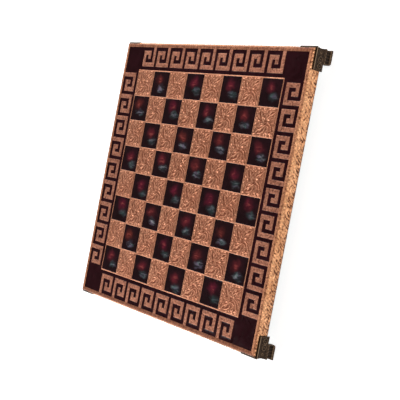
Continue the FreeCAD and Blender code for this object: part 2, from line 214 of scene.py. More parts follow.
def ridge(x, y, line, width, height, taper=(1.0, 1.0)):
    """Height of a round-topped ridge along a line. The taper is its share of the width at the two ends."""
    best = np.zeros_like(x)
    count = len(line) - 1
    for k in range(count):
        a, b = line[k], line[k + 1]
        way = b - a
        t = np.clip(((x - a[0]) * way[0] + (y - a[1]) * way[1]) / max(way @ way, 1e-9), 0, 1)
        far = np.hypot(x - a[0] - t * way[0], y - a[1] - t * way[1])
        share = (k + t) / count
        ends = np.interp(share, [0, 0.35, 0.65, 1], [taper[0], 1, 1, taper[1]])
        best = np.maximum(best, height * np.sqrt(np.clip(1 - (far / (width * ends)) ** 2, 0, 1)))
    return best


# Materials


class Nodes:
    """A tree of shader nodes that is put together by short calls."""

    def __init__(self, tree):
        self.tree = tree

    def add(self, kind, **settings):
        node = self.tree.nodes.new(kind)
        for key, value in settings.items():
            setattr(node, key, value)
        return node

    def feed(self, socket, value):
        if isinstance(value, bpy.types.NodeSocket):
            self.tree.links.new(value, socket)
        elif isinstance(value, tuple) and len(value) == 3 and socket.type == "RGBA":
            socket.default_value = (*value, 1.0)
        else:
            socket.default_value = value

    def result(self, kind, *values, **settings):
        """The first output of a new node that is fed the values in their order."""
        node = self.add(kind, **settings)
        for socket, value in zip(node.inputs, values):
            self.feed(socket, value)
        return node.outputs[0]

    def math(self, operation, *values):
        return self.result("ShaderNodeMath", *values, operation=operation)

    def vector(self, operation, *values):
        return self.result("ShaderNodeVectorMath", *values, operation=operation)

    def ease(self, value, low, high, out_low=0.0, out_high=1.0):
        """The value taken smoothly from one range to another."""
        limits = (low, high, out_low, out_high)
        return self.result("ShaderNodeMapRange", value, *limits, interpolation_type="SMOOTHSTEP")


class Look(Nodes):
    """A material made of such nodes."""

    def __init__(self, name, **settings):
        self.material = bpy.data.materials.new(name)
        self.material.use_nodes = True
        super().__init__(self.material.node_tree)
        self.surface = self.tree.nodes["Principled BSDF"]
        self.place = self.add("ShaderNodeTexCoord").outputs["Object"]
        for socket, value in settings.items():
            self.surface.inputs[socket.replace("_", " ")].default_value = value

    def use(self, socket, value):
        """Feeds a socket of the surface shader."""
        self.feed(self.surface.inputs[socket], value)

    def stretch(self, place, scale, turn=0.0):
        """A place turned about Z by degrees and then scaled."""
        node = self.add("ShaderNodeMapping")
        self.feed(node.inputs["Vector"], place)
        node.inputs["Rotation"].default_value = (0, 0, math.radians(turn))
        node.inputs["Scale"].default_value = scale
        return node.outputs[0]

    def noise(self, size, detail=3.0, rough=0.5, bend=0.0, place=None, output="Fac"):
        """Noise with features of about that many millimetres, from 0 to 1."""
        node = self.add("ShaderNodeTexNoise")
        self.feed(node.inputs["Vector"], place or self.place)
        node.inputs["Scale"].default_value = 1 / (size * MM)
        node.inputs["Detail"].default_value = detail
        node.inputs["Roughness"].default_value = rough
        node.inputs["Distortion"].default_value = bend
        return node.outputs[output]

    def cells(self, size, place=None):
        """Distance from the nearest of scattered points about that many millimetres apart."""
        node = self.add("ShaderNodeTexVoronoi")
        self.feed(node.inputs["Vector"], place or self.place)
        node.inputs["Scale"].default_value = 1 / (size * MM)
        return node.outputs["Distance"]

    def mix(self, share, first, second):
        node = self.add("ShaderNodeMix", data_type="RGBA")
        self.feed(node.inputs[0], share)
        self.feed(node.inputs[6], first)
        self.feed(node.inputs[7], second)
        return node.outputs[2]

    def relief(self):
        """The value stored at each point of an embossed mesh, from 0 to 1: how high and exposed the point
        lies, and on the rim also painted light and shade.
        """
        return self.add("ShaderNodeAttribute", attribute_name="relief").outputs["Fac"]

    def finished(self, colour, roughness, height, depth, strength):
        """The material with this colour and roughness and a bump that is depth millimetres deep."""
        bump = self.add("ShaderNodeBump")
        bump.inputs["Strength"].default_value = strength
        bump.inputs["Distance"].default_value = depth * MM
        self.feed(bump.inputs["Height"], height)
        self.use("Base Color", colour)
        self.use("Roughness", roughness)
        self.use("Normal", bump.outputs[0])
        return self.material


def copper_look(name, bright, dull, hollow, rough, grain, patina):
    """Embossed copper: two tones in clouds, patina and painted shade in the hollows, and lighter where it
    is rubbed, which also paints a highlight on its raised parts.

    Its specks are grain millimetres wide, and the patina and painted shade fade out between two heights of
    the relief.
    """
    look = Look(name, Metallic=0.75)
    relief = look.relief()
    clouds = look.noise(24, 4, 0.6)
    specks = look.noise(grain, 3, 0.7)
    tone = look.mix(look.ease(clouds, 0.3, 0.7), dull, bright)
    tone = look.mix(look.ease(specks, 0.36, 0.66, 0.0, 0.6), tone, hollow)
    height = look.math("ADD", relief, look.math("MULTIPLY", look.math("SUBTRACT", specks, 0.5), 0.3))
    # Patina and painted shade: the lower a point lies in its relief, the more of the hollow colour it
    # gets.
    tone = look.mix(look.ease(height, *patina), hollow, tone)
    # Wear and a painted highlight: the highest parts are made lighter and less rough.
    rubbed = look.math("MULTIPLY", look.ease(height, 0.7, 1.0), look.ease(look.noise(9, 3), 0.35, 0.7))
    tone = look.mix(look.math("MULTIPLY", rubbed, 0.35), tone, tuple(min(1.0, c * 1.35) for c in bright))
    worn = look.ease(look.noise(5, 4, 0.65), 0.3, 0.75, rough - 0.08, rough + 0.12)
    worn = look.math("SUBTRACT", worn, look.math("MULTIPLY", rubbed, 0.08))
    scratches = look.noise(0.5, 2, 0.5, place=look.stretch(look.place, (1.0, 0.12, 1.0), 24))
    fine = look.math("ADD", look.noise(0.35, 3, 0.6), look.math("MULTIPLY", scratches, 0.6))
    return look.finished(tone, worn, fine, 0.05, 0.6)


def glazed(look, tone, patch, pit, wave, depth):
    """An enamel of that tone, with the sizes of its dull patches, pits and waves and their depth."""
    dull = look.ease(look.noise(patch, 4, 0.6), 0.3, 0.75, 0.09, 0.18)
    pits = look.ease(look.cells(pit), 0.0, 0.05, -0.6, 0.0)
    waves = look.math("ADD", look.noise(wave, 2, 0.4), pits)
    return look.finished(tone, dull, waves, depth, 0.8)


def enamel_look():
    """Dark glossy border enamel with faint clouds, slow waves and a few pits."""
    look = Look("border_enamel_glossy", IOR=1.5, Specular_IOR_Level=0.22)
    clouds = look.ease(look.noise(18, 5, 0.6, 0.8), 0.35, 0.7)
    tone = look.mix(clouds, (0.0160, 0.0030, 0.0042), (0.0250, 0.0054, 0.0078))
    dust = look.ease(look.noise(1.1, 3, 0.7), 0.62, 0.8, 0.0, 0.5)
    tone = look.mix(dust, tone, (0.0340, 0.0110, 0.0140))
    return glazed(look, tone, 7, 6, 9, 0.06)


def marbled_look():
    """Dark enamel squares, each marbled in its own way: a red glow above pearl-grey streaks."""
    look = Look("square_enamel_marbled", IOR=1.5, Specular_IOR_Level=0.22)
    per_metre = 1 / (PITCH * MM)
    number = look.vector("FLOOR", look.vector("MULTIPLY", look.place, (per_metre, per_metre, 0.0)))
    middle = look.vector("ADD", number, (0.5, 0.5, 0.0))
    middle = look.vector("MULTIPLY", middle, (PITCH * MM, PITCH * MM, 0.0))
    inside = look.vector("MULTIPLY", look.vector("SUBTRACT", look.place, middle), (1.0, 1.0, 0.0))
    elsewhere = look.vector("ADD", inside, look.vector("MULTIPLY", number, (0.26, 0.11, 0.0)))
    chance = look.add("ShaderNodeTexWhiteNoise", noise_dimensions="3D")
    look.feed(chance.inputs["Vector"], number)
    luck = look.vector("SUBTRACT", chance.outputs["Color"], (0.5, 0.5, 0.5))
    kind = chance.outputs["Value"]
    flow = look.noise(13, place=elsewhere, output="Color")
    push = look.vector("SUBTRACT", flow, (0.5, 0.5, 0.5))
    warped = look.vector("ADD", inside, look.vector("MULTIPLY", push, (0.014, 0.012, 0.0)))
    warped = look.vector("ADD", warped, look.vector("MULTIPLY", luck, (0.006, 0.005, 0.0)))

    def spot(x, y, wide, high, turn):
        """A soft oval glow, from 1 in its middle to 0. Its place and half axes are in millimetres."""
        moved = look.vector("SUBTRACT", warped, (x * MM, y * MM, 0.0))
        shaped = look.stretch(moved, (1 / (wide * MM), 1 / (high * MM), 0.0), -turn)
        node = look.add("ShaderNodeVectorMath", operation="LENGTH")
        look.feed(node.inputs[0], shaped)
        return look.ease(node.outputs["Value"], 0.0, 1.0, 1.0, 0.0)

    smoke = look.noise(11, 4, 0.6, 0.6, elsewhere)
    drawn = look.vector("ADD", elsewhere, look.vector("MULTIPLY", push, (0.003, 0.007, 0.0)))
    slant = look.add("ShaderNodeMapping")
    look.feed(slant.inputs["Vector"], drawn)
    turn = look.vector("MULTIPLY_ADD", chance.outputs["Color"], (0, 0, 1.3), (0, 0, -0.95))
    look.feed(slant.inputs["Rotation"], turn)
    slant.inputs["Scale"].default_value = (0.24, 1.0, 1.0)
    streaks = look.noise(3.2, 2, 0.5, 0.2, slant.outputs[0])
    tone = look.mix(look.ease(smoke, 0.3, 0.7), (0.0118, 0.0046, 0.0052), (0.0170, 0.0060, 0.0080))
    veil = look.math("MULTIPLY", spot(0.0, 5.0, 19, 15, 0), look.ease(smoke, 0.25, 0.65, 0.45, 1.0))
    tone = look.mix(veil, tone, look.mix(kind, (0.036, 0.0075, 0.013), (0.033, 0.0092, 0.0102)))
    glow = look.math("MULTIPLY", spot(-2.2, 4.4, 11.0, 10.5, 15), look.ease(smoke, 0.25, 0.65, 0.30, 0.90))
    tone = look.mix(glow, tone, look.mix(kind, (0.138, 0.011, 0.029), (0.148, 0.027, 0.018)))
    heart = look.math("MULTIPLY", spot(-1.4, 3.4, 6.5, 5.5, 10), look.ease(streaks, 0.44, 0.60))
    tone = look.mix(look.math("MULTIPLY", heart, 0.6), tone, (0.300, 0.064, 0.055))
    haze = look.math("MULTIPLY", spot(3.8, -6.8, 11.5, 7.5, 18), 0.80)
    tone = look.mix(haze, tone, look.mix(kind, (0.029, 0.050, 0.049), (0.040, 0.034, 0.049)))
    pearl = look.math("MULTIPLY", spot(3.8, -7.2, 12.0, 6.0, 20), look.ease(streaks, 0.44, 0.60))
    pearl = look.math("MULTIPLY", pearl, look.ease(kind, 0.0, 0.6, 0.35, 1.0))
    milk = look.mix(look.ease(smoke, 0.35, 0.65), (0.076, 0.150, 0.142), (0.300, 0.280, 0.305))
    bruise = look.ease(look.noise(8, 2, 0.5, 0.4, elsewhere), 0.46, 0.60, 0.0, 0.85)
    tone = look.mix(pearl, tone, look.mix(bruise, milk, (0.135, 0.090, 0.150)))
    return glazed(look, tone, 6, 7, 8, 0.05)


def bronze_look():
    """Cast bronze with a dark brown patina, nearly black in its hollows and rubbed on its edges."""
    look = Look("antique_bronze_cast", Metallic=0.85)
    relief = look.relief()
    clouds = look.noise(6, 5, 0.65)
    grit = look.noise(0.8, 3, 0.7)
    tone = look.mix(look.ease(clouds, 0.3, 0.7), (0.030, 0.0160, 0.0088), (0.046, 0.0260, 0.0138))
    height = look.math("ADD", relief, look.math("MULTIPLY", look.math("SUBTRACT", grit, 0.5), 0.35))
    tone = look.mix(look.ease(height, 0.0, 0.42), (0.012, 0.008, 0.006), tone)
    rubbed = look.ease(height, 0.60, 1.0)
    tone = look.mix(look.math("MULTIPLY", rubbed, 0.8), tone, (0.200, 0.126, 0.074))
    dull = look.ease(clouds, 0.3, 0.7, 0.44, 0.60)
    dull = look.math("SUBTRACT", dull, look.math("MULTIPLY", rubbed, 0.14))
    return look.finished(tone, dull, look.math("ADD", grit, look.noise(2.5, 2)), 0.10, 0.7)


def board_look():
    """Fibreboard: fine pale specks over brown, with a slight grain along X."""
    look = Look("panel_wood_fibre", Roughness=0.75)
    fibre = look.noise(0.9, 4, 0.7, place=look.stretch(look.place, (0.15, 1.0, 1.0)))
    specks = look.noise(0.5, 2, 0.6)
    tone = look.mix(look.ease(fibre, 0.3, 0.7), (0.300, 0.200, 0.115), (0.430, 0.310, 0.190))
    tone = look.mix(look.ease(specks, 0.6, 0.75, 0.0, 0.5), tone, (0.150, 0.090, 0.050))
    dull = look.ease(specks, 0.3, 0.7, 0.65, 0.85)
    return look.finished(tone, dull, look.math("ADD", fibre, specks), 0.08, 0.6)


def felt_look():
    """Dark green felt: matted fibres with a soft sheen."""
    look = Look("base_felt_green", Roughness=0.95, Sheen_Weight=0.5, Sheen_Roughness=0.5)
    fibre = look.noise(0.35, 4, 0.75, 1.5)
    matted = look.noise(2.2, 4, 0.7, 1.0)
    tone = look.mix(look.ease(fibre, 0.3, 0.7), (0.010, 0.034, 0.020), (0.026, 0.078, 0.046))
    tone = look.mix(look.ease(matted, 0.35, 0.75, 0.0, 0.45), tone, (0.045, 0.105, 0.066))
    dull = look.ease(matted, 0.3, 0.7, 0.85, 1.0)
    return look.finished(tone, dull, look.math("ADD", fibre, matted), 0.16, 0.8)


def steel_look():
    """Zinc-plated screws with turning marks and a little tarnish."""
    look = Look("screw_steel_plated", Metallic=1.0)
    marks = look.noise(0.25, 2, 0.5, place=look.stretch(look.place, (1.0, 0.2, 1.0), 35))
    stain = look.ease(look.noise(1.6, 4, 0.7), 0.4, 0.75)
    tone = look.mix(stain, (0.56, 0.55, 0.51), (0.33, 0.29, 0.22))
    dull = look.math("ADD", look.ease(marks, 0.3, 0.7, 0.25, 0.42), look.math("MULTIPLY", stain, 0.2))
    return look.finished(tone, dull, marks, 0.03, 0.5)


FACE_COPPER = copper_look(
    "copper_face_embossed", (0.90, 0.430, 0.250), (0.75, 0.322, 0.176), (0.220, 0.061, 0.026),
    rough=0.46, grain=2.4, patina=(0.05, 0.50))
KEY_COPPER = copper_look(
    "copper_face_stippled", (0.565, 0.244, 0.147), (0.45, 0.178, 0.102), (0.130, 0.034, 0.018),
    rough=0.54, grain=2.2, patina=(0.0, 0.50))
BAND_COPPER = copper_look(
    "copper_band_embossed", (0.91, 0.466, 0.237), (0.75, 0.350, 0.160), (0.110, 0.031, 0.011),
    rough=0.40, grain=2.4, patina=(0.06, 0.52))
RIM_COPPER = copper_look(
    "copper_face_rim", (0.72, 0.325, 0.172), (0.58, 0.243, 0.118), (0.145, 0.040, 0.017),
    rough=0.56, grain=2.2, patina=(0.0, 0.50))
BORDER_ENAMEL = enamel_look()
SQUARE_ENAMEL = marbled_look()
BRONZE = bronze_look()
PANEL_WOOD = board_look()
FELT = felt_look()
STEEL = steel_look()


# The playing field

# The relief of the copper squares: its strokes above the ground, the ground and the edges below
# the solid's face, and the grain.
STROKE_LIFT = 0.44
GROUND_SINK = 0.12
EDGE_SINK = 0.20
GRAIN_LIFT = 0.24
GRAIN_SIZE = 1.1
SPREAD_STEP = 0.42
SAMPLES = 241

# The ornament of a copper square: four pointed leaves that cross in its middle. Each line is
# given by its points, half its width and its height, and each hollow by its depth. The lines
# are drawn thinner and lower by two shares, which leave the fine strokes between them to stand out.
LINE_THIN = 0.9
LINE_LOW = 0.50
LEAF_LINES = (
    ([(-11.8, 14.2), (-12.9, 10.6), (-12.2, 7.0), (-10.2, 3.4)], 0.75, 0.85),
    ([(-9.0, 11.4), (-7.3, 8.6), (-5.8, 5.2), (-4.0, 2.2), (-1.0, -1.0)], 0.75, 0.90),
    ([(-7.8, 9.6), (-6.8, 7.4)], 1.15, 1.00),
    ([(-11.4, 14.0), (-7.6, 13.2), (-3.6, 11.4), (-1.4, 8.4)], 0.60, 0.60),
    ([(-4.6, 6.4), (-3.5, 8.3), (-1.9, 9.8)], 0.60, 0.60),
    ([(1.0, 6.0), (1.7, 7.9), (2.9, 9.7)], 0.75, 0.90),
    ([(0.8, 3.0), (3.4, 5.0), (6.4, 7.7), (10.6, 9.5), (13.0, 11.4), (15.4, 13.6)], 0.70, 0.95),
    ([(14.8, 10.6), (13.6, 7.6), (12.6, 5.2), (10.8, 2.8)], 0.75, 0.75),
    ([(6.6, 4.4), (9.0, 5.8), (11.8, 6.2)], 0.45, 0.50),
    ([(2.8, 9.9), (5.6, 12.2), (9.6, 13.4), (13.6, 14.4)], 0.60, 0.55),
    ([(-13.0, -13.8), (-10.2, -10.5), (-5.2, -8.3), (-1.6, -5.6), (1.6, -3.8)], 0.70, 0.95),
    ([(-9.8, -14.6), (-4.6, -13.9), (-0.8, -12.0), (0.6, -9.0), (1.9, -6.4)], 0.75, 0.80),
    ([(-8.6, -3.4), (-6.0, -2.2), (-3.0, -2.4)], 0.70, 0.60),
    ([(-11.5, -9.0), (-11.1, -8.2)], 0.95, 0.90),
    ([(-10.2, -6.0), (-9.6, -5.0)], 0.90, 0.85),
    ([(-8.6, -3.6), (-7.8, -2.8)], 0.85, 0.75),
    ([(3.4, -0.4), (7.6, -2.2), (10.3, -4.8), (11.6, -8.2), (13.2, -11.8)], 0.70, 0.95),
    ([(9.4, -0.2), (12.2, -1.8), (13.9, -5.0), (15.0, -9.2)], 0.60, 0.60),
    ([(3.2, -4.6), (6.0, -5.6), (6.9, -7.8), (5.0, -9.8)], 0.65, 0.65),
    ([(2.6, -12.8), (4.4, -10.6), (7.4, -9.4)], 0.50, 0.50),
    ([(6.8, -12.4), (7.6, -12.0)], 0.95, 0.80),
    ([(-14.6, 2.2), (-13.0, -1.0), (-12.6, -4.4)], 0.55, 0.45),
    ([(15.2, 1.6), (14.2, 0.2), (12.8, -0.6)], 0.55, 0.45),
    ([(5.4, 9.6), (8.4, 12.4)], 0.85, 2.40),
    ([(8.4, 7.0), (10.8, 9.4)], 0.85, 2.40),
    ([(-7.0, -11.2), (-4.4, -8.6)], 0.85, 2.30),
)
LEAF_HOLLOWS = (
    ([(-10.6, 11.4), (-9.6, 7.8), (-7.9, 4.2)], 0.80, 0.80),
    ([(-7.4, 1.7), (-6.2, 1.4)], 1.15, 1.00),
    ([(-5.2, 7.9), (-4.3, 9.7), (-3.2, 10.2)], 1.00, 1.00),
    ([(-0.4, 1.2), (2.2, 1.1)], 0.80, 0.90),
    ([(-0.9, -3.8), (2.6, -1.2)], 0.85, 0.80),
    ([(-10.6, -13.2), (-5.0, -11.6), (-1.0, -8.8)], 1.35, 0.70),
    ([(-9.8, -9.0), (-7.4, -8.0), (-4.8, -6.8)], 0.85, 0.90),
    ([(3.4, 7.4), (6.0, 9.6), (9.8, 11.7), (12.4, 12.2)], 1.15, 0.70),
    ([(5.2, 6.0), (8.6, 7.2), (12.6, 7.6)], 0.60, 0.80),
    ([(7.8, 4.5), (10.2, 4.7), (11.8, 5.0)], 0.60, 0.60),
    ([(7.0, -0.6), (10.5, -2.6), (12.5, -6.0), (14.0, -10.4)], 0.75, 0.80),
    ([(2.6, -3.4), (6.4, -3.9), (8.6, -6.2)], 0.90, 0.55),
    ([(9.2, -12.0), (10.3, -11.7)], 1.05, 1.00),
    ([(-2.6, 6.8), (-1.4, 7.4)], 0.85, 0.60),
    ([(2.4, -7.6), (3.4, -9.0), (2.2, -11.0)], 0.70, 0.50),
)


STROKE_TRIES = 4000
STROKE_GAP = 0.18
STROKE_MARGIN = 0.9


def fine_strokes(taken, widths):
    """Short strokes scattered over a copper square, clear of the lines that are taken already."""
    rng = np.random.default_rng(11)
    strokes = []
    half = PITCH / 2 - STROKE_MARGIN
    for _try in range(STROKE_TRIES):
        x, y = rng.uniform(-half, half, 2)
        way = math.atan2(y, x) + rng.choice([-1, 1]) * rng.uniform(0.2, 1.1)
        length = rng.uniform(2.2, 5.4)
        width = rng.uniform(0.54, 0.78)
        step = np.array([math.cos(way), math.sin(way)])
        across = np.array([-step[1], step[0]]) * rng.uniform(-0.2, 0.2) * length
        middle = np.array([x, y])
        line = curve([middle - step * length / 2, middle + across, middle + step * length / 2], 6)
        if np.abs(line).max() > half:
            continue
        gap = np.hypot(line[:, None, 0] - taken[None, :, 0], line[:, None, 1] - taken[None, :, 1])
        if (gap - widths[None, :] - width).min() < STROKE_GAP:
            continue
        strokes.append((line, width))
        taken = np.concatenate([taken, line])
        widths = np.concatenate([widths, np.full(len(line), width)])
    return strokes


def leaf_relief(x, y):
    """Relief of the ornament at places in a copper square, from -1 in its hollows up."""

    def highest(best, line, width, height, taper):
        low, high = line.min(0) - 2, line.max(0) + 2
        near = (x > low[0]) & (x < high[0]) & (y > low[1]) & (y < high[1])
        best[near] = np.maximum(best[near], ridge(x[near], y[near], line, width, height, (taper, taper)))

    raised = np.zeros_like(x)
    sunk = np.zeros_like(x)
    taken = []
    widths = []
    for best, strokes, thin, low, taper, kept in (
        (raised, LEAF_LINES, LINE_THIN, LINE_LOW, 0.5, 1.0), (sunk, LEAF_HOLLOWS, 1.0, 1.0, 0.6, 0.7),
    ):
        for points, width, height in strokes:
            line = curve(points, 6 * len(points))
            highest(best, line, thin * width, low * height, taper)
            taken.append(line)
            widths.append(np.full(len(line), width * kept))
    for line, width in fine_strokes(np.concatenate(taken), np.concatenate(widths)):
        highest(raised, line, width, 1.00, 0.6)
    return raised - 0.6 * sunk * (raised < 0.3)


def square_lines():
    """Where the walls between the squares and the line round the field begin and end."""
    walls = (np.arange(1, SQUARES) - SQUARES // 2) * PITCH
    ends = np.array([LINE_HALF - LINE_WIDTH, LINE_HALF])
    return np.sort(np.round([*(walls - WALL / 2), *(walls + WALL / 2), *-ends, *ends], 4))


def make_field():
    """The copper squares with the line round the field, in four strips."""
    lines = spread(square_lines(), SPREAD_STEP)
    middles = (lines[:-1] + lines[1:]) / 2
    cell = np.floor(middles / PITCH).astype(int) + SQUARES // 2
    inside = middles - (cell - SQUARES // 2) * PITCH
    in_tile = (inside > WALL / 2) & (inside < PITCH - WALL / 2) & (cell >= 0) & (cell < SQUARES)
    dark = (cell[:, None] + cell[None, :]) % 2 == 0
    enamel = dark & in_tile[:, None] & in_tile[None, :]
    field = Plateau(lines, lines, ~enamel)
    number = np.clip(np.floor(lines / PITCH), -SQUARES // 2, SQUARES // 2 - 1)
    local = lines - (number + 0.5) * PITCH
    one = np.linspace(-PITCH / 2, PITCH / 2, SAMPLES)
    grid = leaf_relief(*np.meshgrid(one, one, indexing="ij"))
    at = np.clip((local + PITCH / 2) / (one[1] - one[0]), 0, SAMPLES - 1.001)
    i = at.astype(int)
    f = at - i
    along = grid[i] * (1 - f)[:, None] + grid[i + 1] * f[:, None]
    pattern = along[:, i] * (1 - f)[None, :] + along[:, i + 1] * f[None, :]
    light = (number[:, None] + number[None, :]) % 2 != 0
    within = np.minimum(PITCH / 2 - np.abs(local[:, None]), PITCH / 2 - np.abs(local[None, :]))
    fade = np.clip((within - 0.5) / 0.7, 0, 1) * light
    line_ridge = np.maximum(np.abs(field.x), np.abs(field.y)) > LINE_HALF - LINE_WIDTH
    relief = pattern * fade
    grain = GRAIN_LIFT * smooth_noise(field.x, field.y, GRAIN_SIZE, 3) * fade
    top = COPPER_TOP - GROUND_SINK + STROKE_LIFT * relief + grain
    top = np.where(fade > 0, top, COPPER_TOP + 0.02)
    top = np.where(line_ridge, COPPER_TOP + 0.08, top)
    top = np.minimum(top, RIM_TOP - 0.03) - EDGE_SINK * field.edge - 0.03 * field.ring
    # Low values, on the ground between the strokes and at the edges, get the copper's patina and painted
    # shade.
    shade = np.clip(np.where(fade > 0, 0.20 + 0.60 * relief, 0.36), 0, 1)
    shade = np.where(field.edge, 0.35, shade)
    rows = [int(np.argmin(np.abs(lines - k * 2 * PITCH))) for k in range(-1, 2)]
    rows = [0] + rows + [len(lines) - 1]
    for k in range(SQUARES // 2):
        points, faces, used, wall = field.build(top, WALL_FOOT, (rows[k], rows[k + 1]))
        values = np.concatenate([shade[used], np.full(wall.sum(), WALL_SHADE)])
        names = ("relief_sheet",) if k == 0 else ()
        ranks = f"copper_ranks_{2 * k + 1}_{2 * k + 2}"
        make_piece(ranks, points, faces, FACE_COPPER, names, values)


CROWN = 0.07
TILE_RISE = 0.11


def make_enamel_squares():
    """The 32 enamel squares, slightly crowned and drawn up a little at the copper round them."""
    size = PITCH - WALL
    one = spread([0.0, size], 1.5, 0.35)
    tile = Plateau(one, one, np.ones((len(one) - 1, len(one) - 1), bool))
    u, v = 2 * tile.x / size - 1, 2 * tile.y / size - 1
    crown = CROWN * (1 - u ** 2) * (1 - v ** 2)
    top = ENAMEL_TOP + crown + TILE_RISE * tile.edge + 0.015 * tile.ring
    tile_points, faces, _used, _wall = tile.build(top, WALL_FOOT)
    for file_number in range(SQUARES):
        for rank_number in range(file_number % 2, SQUARES, 2):
            corner = (np.array([file_number, rank_number]) - SQUARES // 2) * PITCH + WALL / 2
            points = tile_points + (*corner, 0)
            square = "abcdefgh"[file_number] + str(rank_number + 1)
            names = (f"enamel_{square}",)
            make_piece(f"marbled_{square}", points, faces, SQUARE_ENAMEL, names)


# The border

# The Greek keys of the back row: their bars, the gaps in them along and across the row, and the
# lines that these draw, from the first key's start and from the row's inner side.
KEYS = 9
KEY_PITCH = 31.2
KEY_BAR = 5.6
KEY_INSET = 5.0
KEY_GAP = (KEY_PITCH - 3 * KEY_BAR) / 3
KEY_GAP_DEEP = (BORDER_WIDTH - KEY_INSET - 3 * KEY_BAR) / 2
KEY_ACROSS = np.cumsum([0, KEY_BAR, KEY_GAP, KEY_BAR, KEY_GAP, KEY_BAR]).round(3).tolist()
KEY_OUT = np.cumsum([0, KEY_BAR, KEY_GAP_DEEP, KEY_BAR, KEY_BAR, KEY_GAP_DEEP]).round(3).tolist()
KEY_START = -((KEYS - 1) * KEY_PITCH + KEY_ACROSS[-1]) / 2
KEY_HALF = LINE_HALF + KEY_INSET
KEY_CELLS = np.array([
    [1, 1, 1, 1, 1],
    [1, 0, 0, 0, 1],
    [1, 0, 1, 0, 1],
    [1, 1, 1, 0, 1],
    [0, 0, 0, 0, 1],
], bool)

# The relief of the keys: their stipple, their rounded edges, and the enamel's waves and its rise
# at the copper, which both fade out before the seams between the four sides.
STIPPLE_LIFT = 0.22
KEY_EDGE_SINK = 0.16
WAVE_LIFT = 0.02
WAVE_FADE = 6.0
RISE = 0.05
RISE_FADE = 3.0


def key_lines():
    """Lines along and across the back border between copper and enamel."""
    across = []
    for k in range(KEYS):
        across += [KEY_START + k * KEY_PITCH + x for x in KEY_ACROSS]
    return across, [KEY_HALF + y for y in KEY_OUT]


def in_key(x, y):
    """Which places of the back border lie in a key."""
    local = (x - KEY_START) % KEY_PITCH
    first = np.floor((x - KEY_START) / KEY_PITCH)
    column = np.searchsorted(KEY_ACROSS, local) - 1
    row = np.searchsorted(KEY_OUT, y - KEY_HALF) - 1
    last = len(KEY_CELLS) - 1
    real = (first >= 0) & (first < KEYS) & (column <= last) & (row >= 0) & (row <= last)
    return real & KEY_CELLS[np.clip(row, 0, last), np.clip(column, 0, last)]


def stipple(x, y):
    """Fine short dashes pressed into the copper of the keys and the rim, from -1 to 1."""
    slanted = smooth_noise(x * 0.75 + y * 0.65, (y - x) * 0.50, 1.3, 5)
    return 0.65 * slanted + 0.50 * smooth_noise(x, y, 1.3, 6)


def cell_middles(xs, ys):
    """The middles of the cells between grid lines."""
    return np.meshgrid((xs[:-1] + xs[1:]) / 2, (ys[:-1] + ys[1:]) / 2, indexing="ij")


def key_mesh():
    """The keys of the back border, as points, faces and shades."""
    xs, ys = (spread(lines, 0.6) for lines in key_lines())
    keys = Plateau(xs, ys, in_key(*cell_middles(xs, ys)))
    marks = stipple(keys.x, keys.y)
    inner = ~keys.edge
    top = COPPER_TOP + STIPPLE_LIFT * marks * inner - KEY_EDGE_SINK * keys.edge - 0.02 * keys.ring
    # Low values, in the pressed dashes and on the rounded edges, get the copper's patina and painted
    # shade.
    shade = np.clip(0.46 + 0.50 * marks, 0, 1) * inner + 0.14 * keys.edge
    points, faces, used, wall = keys.build(top, WALL_FOOT)
    return points, faces, np.concatenate([shade[used], np.full(wall.sum(), WALL_SHADE)])


def fill_mesh():
    """The enamel round the keys of the back border, as points and faces."""
    across, out = key_lines()
    xs = spread([-LINE_HALF] + across + [RIM_HALF], 1.3)
    ys = spread([LINE_HALF] + out, 1.3)
    fill = Plateau(xs, ys, ~in_key(*cell_middles(xs, ys)))
    seam = (fill.x < -LINE_HALF + 0.01) & (fill.y > LINE_HALF)
    seam |= (fill.y < LINE_HALF + 0.01) & (fill.x > LINE_HALF)
    beside = np.where(fill.x > LINE_HALF - WAVE_FADE, fill.y - LINE_HALF, WAVE_FADE)
    from_seam = np.minimum(fill.x + LINE_HALF, beside)
    waves = WAVE_LIFT * smooth_noise(fill.x, fill.y, 14, 8) * np.clip(from_seam / WAVE_FADE, 0, 1)
    rise = (RISE * fill.edge + 0.02 * fill.ring) * np.clip(from_seam / RISE_FADE, 0, 1)
    top = np.where(seam, ENAMEL_TOP, ENAMEL_TOP + rise + waves)
    walled = np.ones_like(fill.mask)
    walled[0] = False
    walled[xs[:-1] > LINE_HALF - 0.01, 0] = False
    return fill.build(top, WALL_FOOT, walled=walled)[:2]


def make_border():
    """The keys and the enamel round them, one piece of each for every side of the board."""
    keys, key_faces, shade = key_mesh()
    fill, fill_faces = fill_mesh()
    for quarter, side in enumerate(SIDES):
        placed = turned(keys, quarter)
        make_piece(f"keys_{side}", placed, key_faces, KEY_COPPER, (), shade)
        names = ("border_enamel",) if quarter == 0 else ()
        placed = turned(fill, quarter)
        make_piece(f"border_fill_{side}", placed, fill_faces, BORDER_ENAMEL, names)


# The outer edge of the board: the strips of its sides follow the fold up to FOLD_PART of a
# quarter turn, and the rim of the face sheet goes on from there.
FOLD = 2.5
FOLD_PROUD = 0.25
FOLD_PART = 0.55
RIM_SINK = 0.10

# How bright the rim's copper looks on its flat top, on its bend and at its hidden ends, and how
# much lighter or darker each side is made as painted light and shade, in the order of SIDES.
RIM_FLAT = 0.46
RIM_BEND = 0.32
RIM_END = 0.12
RIM_SIDE_PAINTED_LIGHT = (0.42, 0.90, 0.30, 1.40)
RIM_STIPPLE = 0.18
RIM_STEPS = 860
BEND_ROWS = 6


def fold_points(start, end, count, lift=0.0):
    """Points along a stretch of the fold, as distances out and up. Its shares run up from the side."""
    turn = np.linspace(start, end, count) * math.pi / 2
    radius = FOLD + lift
    out = BOARD_HALF + FOLD_PROUD - FOLD + radius * np.cos(turn)
    return np.c_[out, RIM_TOP - RIM_SINK - FOLD + radius * np.sin(turn)]


